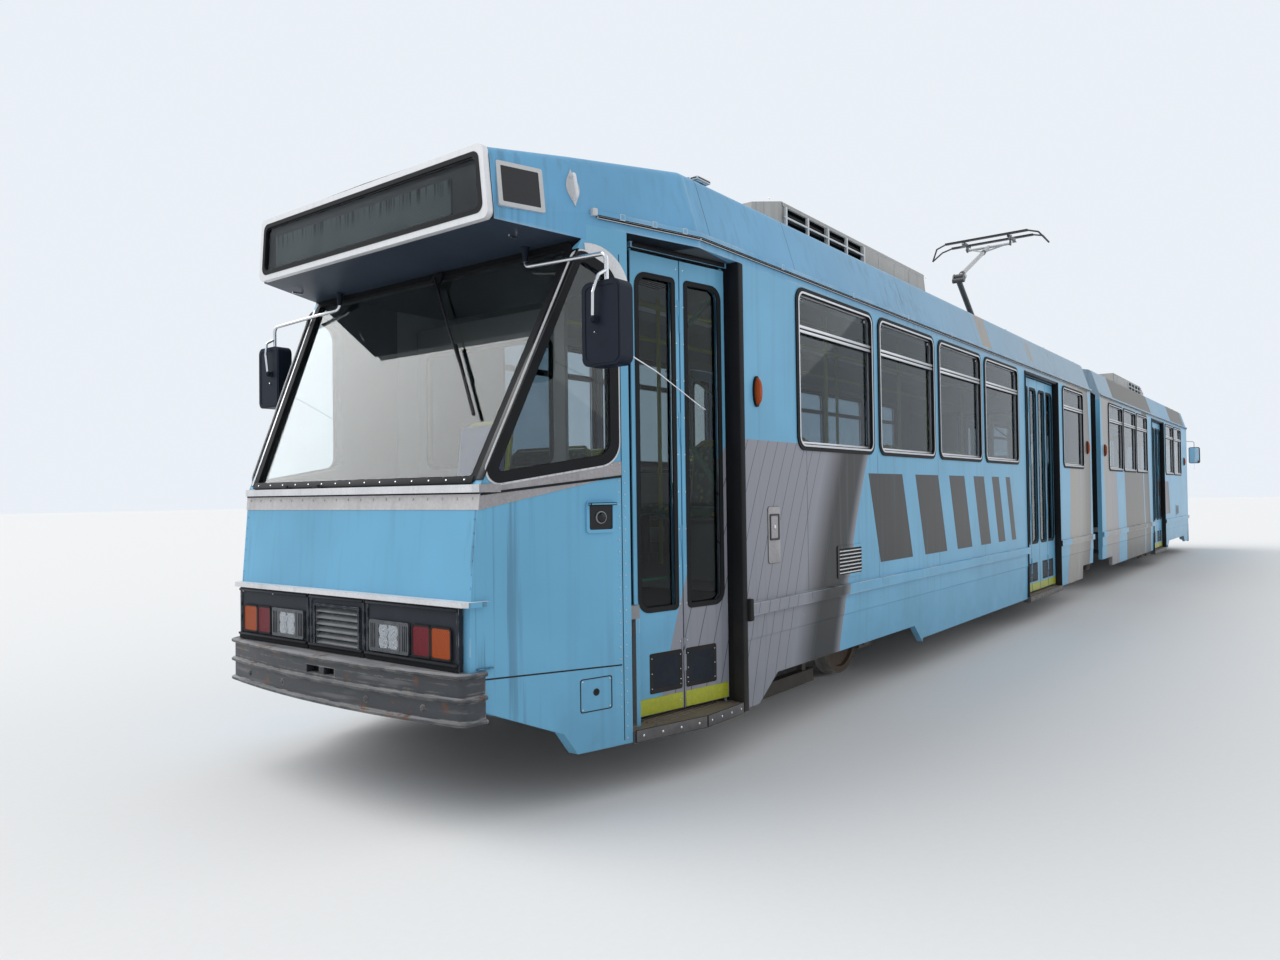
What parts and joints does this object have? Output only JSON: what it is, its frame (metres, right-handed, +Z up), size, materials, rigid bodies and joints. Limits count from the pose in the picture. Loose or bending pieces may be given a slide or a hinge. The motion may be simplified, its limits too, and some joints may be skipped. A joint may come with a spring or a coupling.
{
  "type": "articulated tram",
  "caption": "Articulated passenger tram in two sections on bogies, with folding doors, a cab at each end and a single-arm pantograph.",
  "frame": {"origin": "centre of the bounding box at the lowest point of the wheel flanges, under the articulation", "axes": "+X forward, +Y to the left side, +Z up"},
  "size_m": [23.6296, 3.03, 5.302],
  "materials": {
    "body_paint": "satin paint, light blue",
    "roof_paint": "weathered paint, light blue",
    "door_paint": "satin paint, light blue",
    "underframe": "dull dark grey",
    "black_rubber": "moulded rubber",
    "window_glass": "tinted safety glass",
    "bumper_grey": "chipped dark grey paint",
    "lamp_panel": "dark panel with lenses",
    "black_plastic": "textured plastic",
    "seat_fabric": "woven moquette",
    "rail_yellow": "gloss paint",
    "cab_grey": "textured plastic",
    "bogie_steel": "dusty dark steel",
    "wheel_steel": "worn steel",
    "pantograph_steel": "dark painted tube",
    "bellows_rubber": "folded rubberised cloth"
  },
  "bodies": {
    "front_car": {"bellows": "bellows_rubber", "front_bumper": "bumper_grey", "front_cab": "body_paint", "front_cab_fittings": "cab_grey", "front_floor": "underframe", "front_glazing": "window_glass", "front_grab_rails": "rail_yellow", "front_lamps": "lamp_panel", "front_mirrors": "black_plastic", "front_roof": "roof_paint", "front_seats": "seat_fabric", "front_side_left": "body_paint", "front_side_right": "body_paint", "front_window_frames": "black_rubber", "pantograph_base": "pantograph_steel"},
    "rear_car": {"rear_bumper": "bumper_grey", "rear_cab": "body_paint", "rear_cab_fittings": "cab_grey", "rear_floor": "underframe", "rear_glazing": "window_glass", "rear_grab_rails": "rail_yellow", "rear_lamps": "lamp_panel", "rear_mirrors": "black_plastic", "rear_roof": "roof_paint", "rear_seats": "seat_fabric", "rear_side_left": "body_paint", "rear_side_right": "body_paint", "rear_window_frames": "black_rubber"},
    "front_bogie": {"front_bogie_frame": "bogie_steel"},
    "front_entry_leaf_1": {"front_entry_leaf_1": "door_paint"},
    "front_entry_leaf_2": {"front_entry_leaf_2": "door_paint"},
    "front_left_mid_leaf_a1": {"front_left_mid_leaf_a1": "door_paint"},
    "front_left_mid_leaf_a2": {"front_left_mid_leaf_a2": "door_paint"},
    "front_left_mid_leaf_b1": {"front_left_mid_leaf_b1": "door_paint"},
    "front_left_mid_leaf_b2": {"front_left_mid_leaf_b2": "door_paint"},
    "front_right_mid_leaf_a1": {"front_right_mid_leaf_a1": "door_paint"},
    "front_right_mid_leaf_a2": {"front_right_mid_leaf_a2": "door_paint"},
    "front_right_mid_leaf_b1": {"front_right_mid_leaf_b1": "door_paint"},
    "front_right_mid_leaf_b2": {"front_right_mid_leaf_b2": "door_paint"},
    "front_wheelset_1": {"front_wheelset_1": "wheel_steel"},
    "front_wheelset_2": {"front_wheelset_2": "wheel_steel"},
    "middle_bogie": {"middle_bogie_frame": "bogie_steel"},
    "middle_wheelset_1": {"middle_wheelset_1": "wheel_steel"},
    "middle_wheelset_2": {"middle_wheelset_2": "wheel_steel"},
    "pantograph_head": {"pantograph_head": "pantograph_steel"},
    "pantograph_lower_arm": {"pantograph_lower_arm": "pantograph_steel"},
    "pantograph_upper_arm": {"pantograph_upper_arm": "pantograph_steel"},
    "rear_bogie": {"rear_bogie_frame": "bogie_steel"},
    "rear_entry_leaf_1": {"rear_entry_leaf_1": "door_paint"},
    "rear_entry_leaf_2": {"rear_entry_leaf_2": "door_paint"},
    "rear_left_mid_leaf_a1": {"rear_left_mid_leaf_a1": "door_paint"},
    "rear_left_mid_leaf_a2": {"rear_left_mid_leaf_a2": "door_paint"},
    "rear_left_mid_leaf_b1": {"rear_left_mid_leaf_b1": "door_paint"},
    "rear_left_mid_leaf_b2": {"rear_left_mid_leaf_b2": "door_paint"},
    "rear_right_mid_leaf_a1": {"rear_right_mid_leaf_a1": "door_paint"},
    "rear_right_mid_leaf_a2": {"rear_right_mid_leaf_a2": "door_paint"},
    "rear_right_mid_leaf_b1": {"rear_right_mid_leaf_b1": "door_paint"},
    "rear_right_mid_leaf_b2": {"rear_right_mid_leaf_b2": "door_paint"},
    "rear_wheelset_1": {"rear_wheelset_1": "wheel_steel"},
    "rear_wheelset_2": {"rear_wheelset_2": "wheel_steel"}
  },
  "joints": [
    {"name": "articulation", "type": "hinge", "parent": "front_car", "child": "rear_car", "pos_m": [0, 0, 0.862], "axis": [0, 0, 1], "range_deg": [-25, 25], "deforming": ["bellows"]},
    {"name": "front_bogie_swing", "type": "hinge", "parent": "front_car", "child": "front_bogie", "pos_m": [8.4, 0, 0.7], "axis": [0, 0, 1], "range_deg": [-12, 12]},
    {"name": "middle_bogie_swing", "type": "hinge", "parent": "front_car", "child": "middle_bogie", "pos_m": [0, 0, 0.7], "axis": [0, 0, 1], "range_deg": [-12.5, 12.5]},
    {"name": "rear_bogie_swing", "type": "hinge", "parent": "rear_car", "child": "rear_bogie", "pos_m": [-8.4, 0, 0.7], "axis": [0, 0, 1], "range_deg": [-12, 12]},
    {"name": "front_wheelset_1_turn", "type": "hinge", "parent": "front_bogie", "child": "front_wheelset_1", "pos_m": [9.3, 0, 0.352], "axis": [0, 1, 0], "continuous": true},
    {"name": "front_wheelset_2_turn", "type": "hinge", "parent": "front_bogie", "child": "front_wheelset_2", "pos_m": [7.5, 0, 0.352], "axis": [0, 1, 0], "continuous": true},
    {"name": "middle_wheelset_1_turn", "type": "hinge", "parent": "middle_bogie", "child": "middle_wheelset_1", "pos_m": [0.9, 0, 0.352], "axis": [0, 1, 0], "continuous": true},
    {"name": "middle_wheelset_2_turn", "type": "hinge", "parent": "middle_bogie", "child": "middle_wheelset_2", "pos_m": [-0.9, 0, 0.352], "axis": [0, 1, 0], "continuous": true},
    {"name": "rear_wheelset_1_turn", "type": "hinge", "parent": "rear_bogie", "child": "rear_wheelset_1", "pos_m": [-7.5, 0, 0.352], "axis": [0, 1, 0], "continuous": true},
    {"name": "rear_wheelset_2_turn", "type": "hinge", "parent": "rear_bogie", "child": "rear_wheelset_2", "pos_m": [-9.3, 0, 0.352], "axis": [0, 1, 0], "continuous": true},
    {"name": "front_entry_door", "type": "hinge", "parent": "front_car", "child": "front_entry_leaf_1", "pos_m": [9.96191, 1.23072, 0.4], "axis": [0, 0, 1], "range_deg": [-74, 0]},
    {"name": "front_entry_fold", "type": "hinge", "parent": "front_entry_leaf_1", "child": "front_entry_leaf_2", "pos_m": [10.31007, 1.18919, 0.4], "axis": [0, 0, 1], "range_deg": [0, 148]},
    {"name": "front_left_mid_door", "type": "hinge", "parent": "front_car", "child": "front_left_mid_leaf_a1", "pos_m": [2.305, 1.254, 0.4], "axis": [0, 0, 1], "range_deg": [-84, 0]},
    {"name": "front_left_mid_fold_a", "type": "hinge", "parent": "front_left_mid_leaf_a1", "child": "front_left_mid_leaf_a2", "pos_m": [2.66, 1.277, 0.4], "axis": [0, 0, 1], "range_deg": [0, 168]},
    {"name": "front_left_mid_door_b", "type": "hinge", "parent": "front_car", "child": "front_left_mid_leaf_b1", "pos_m": [3.759, 1.254, 0.4], "axis": [0, 0, 1], "range_deg": [0, 84]},
    {"name": "front_left_mid_fold_b", "type": "hinge", "parent": "front_left_mid_leaf_b1", "child": "front_left_mid_leaf_b2", "pos_m": [3.404, 1.277, 0.4], "axis": [0, 0, 1], "range_deg": [-168, 0]},
    {"name": "front_right_mid_door", "type": "hinge", "parent": "front_car", "child": "front_right_mid_leaf_a1", "pos_m": [5.176, -1.254, 0.4], "axis": [0, 0, 1], "range_deg": [0, 84]},
    {"name": "front_right_mid_fold_a", "type": "hinge", "parent": "front_right_mid_leaf_a1", "child": "front_right_mid_leaf_a2", "pos_m": [5.531, -1.277, 0.4], "axis": [0, 0, 1], "range_deg": [-168, 0]},
    {"name": "front_right_mid_door_b", "type": "hinge", "parent": "front_car", "child": "front_right_mid_leaf_b1", "pos_m": [6.63, -1.254, 0.4], "axis": [0, 0, 1], "range_deg": [-84, 0]},
    {"name": "front_right_mid_fold_b", "type": "hinge", "parent": "front_right_mid_leaf_b1", "child": "front_right_mid_leaf_b2", "pos_m": [6.275, -1.277, 0.4], "axis": [0, 0, 1], "range_deg": [0, 168]},
    {"name": "rear_entry_door", "type": "hinge", "parent": "rear_car", "child": "rear_entry_leaf_1", "pos_m": [-9.96191, -1.23072, 0.4], "axis": [0, 0, 1], "range_deg": [-74, 0]},
    {"name": "rear_entry_fold", "type": "hinge", "parent": "rear_entry_leaf_1", "child": "rear_entry_leaf_2", "pos_m": [-10.31007, -1.18919, 0.4], "axis": [0, 0, 1], "range_deg": [0, 148]},
    {"name": "rear_left_mid_door", "type": "hinge", "parent": "rear_car", "child": "rear_left_mid_leaf_a1", "pos_m": [-2.305, -1.254, 0.4], "axis": [0, 0, 1], "range_deg": [-84, 0]},
    {"name": "rear_left_mid_fold_a", "type": "hinge", "parent": "rear_left_mid_leaf_a1", "child": "rear_left_mid_leaf_a2", "pos_m": [-2.66, -1.277, 0.4], "axis": [0, 0, 1], "range_deg": [0, 168]},
    {"name": "rear_left_mid_door_b", "type": "hinge", "parent": "rear_car", "child": "rear_left_mid_leaf_b1", "pos_m": [-3.759, -1.254, 0.4], "axis": [0, 0, 1], "range_deg": [0, 84]},
    {"name": "rear_left_mid_fold_b", "type": "hinge", "parent": "rear_left_mid_leaf_b1", "child": "rear_left_mid_leaf_b2", "pos_m": [-3.404, -1.277, 0.4], "axis": [0, 0, 1], "range_deg": [-168, 0]},
    {"name": "rear_right_mid_door", "type": "hinge", "parent": "rear_car", "child": "rear_right_mid_leaf_a1", "pos_m": [-5.176, 1.254, 0.4], "axis": [0, 0, 1], "range_deg": [0, 84]},
    {"name": "rear_right_mid_fold_a", "type": "hinge", "parent": "rear_right_mid_leaf_a1", "child": "rear_right_mid_leaf_a2", "pos_m": [-5.531, 1.277, 0.4], "axis": [0, 0, 1], "range_deg": [-168, 0]},
    {"name": "rear_right_mid_door_b", "type": "hinge", "parent": "rear_car", "child": "rear_right_mid_leaf_b1", "pos_m": [-6.63, 1.254, 0.4], "axis": [0, 0, 1], "range_deg": [-84, 0]},
    {"name": "rear_right_mid_fold_b", "type": "hinge", "parent": "rear_right_mid_leaf_b1", "child": "rear_right_mid_leaf_b2", "pos_m": [-6.275, 1.277, 0.4], "axis": [0, 0, 1], "range_deg": [0, 168]},
    {"name": "pantograph_raise", "type": "hinge", "parent": "front_car", "child": "pantograph_lower_arm", "pos_m": [0.9, 0, 3.722], "axis": [0, 1, 0], "range_deg": [0, 36]},
    {"name": "pantograph_knee", "type": "hinge", "parent": "pantograph_lower_arm", "child": "pantograph_upper_arm", "pos_m": [1.8, 0, 4.472], "axis": [0, 1, 0], "range_deg": [-58, 0]},
    {"name": "pantograph_level", "type": "hinge", "parent": "pantograph_upper_arm", "child": "pantograph_head", "pos_m": [0.42, 0, 5.172], "axis": [0, 1, 0], "range_deg": [0, 22]}
  ],
  "couplings": [
    {"joint": "middle_bogie_swing", "follows": "articulation", "ratio": 0.5},
    {"joint": "front_entry_fold", "follows": "front_entry_door", "ratio": -2},
    {"joint": "front_left_mid_fold_a", "follows": "front_left_mid_door", "ratio": -2},
    {"joint": "front_left_mid_door_b", "follows": "front_left_mid_door", "ratio": -1},
    {"joint": "front_left_mid_fold_b", "follows": "front_left_mid_door", "ratio": 2},
    {"joint": "front_right_mid_fold_a", "follows": "front_right_mid_door", "ratio": -2},
    {"joint": "front_right_mid_door_b", "follows": "front_right_mid_door", "ratio": -1},
    {"joint": "front_right_mid_fold_b", "follows": "front_right_mid_door", "ratio": 2},
    {"joint": "rear_entry_fold", "follows": "rear_entry_door", "ratio": -2},
    {"joint": "rear_left_mid_fold_a", "follows": "rear_left_mid_door", "ratio": -2},
    {"joint": "rear_left_mid_door_b", "follows": "rear_left_mid_door", "ratio": -1},
    {"joint": "rear_left_mid_fold_b", "follows": "rear_left_mid_door", "ratio": 2},
    {"joint": "rear_right_mid_fold_a", "follows": "rear_right_mid_door", "ratio": -2},
    {"joint": "rear_right_mid_door_b", "follows": "rear_right_mid_door", "ratio": -1},
    {"joint": "rear_right_mid_fold_b", "follows": "rear_right_mid_door", "ratio": 2},
    {"joint": "pantograph_knee", "follows": "pantograph_raise", "ratio": -1.6111},
    {"joint": "pantograph_level", "follows": "pantograph_raise", "ratio": 0.61111}
  ]
}
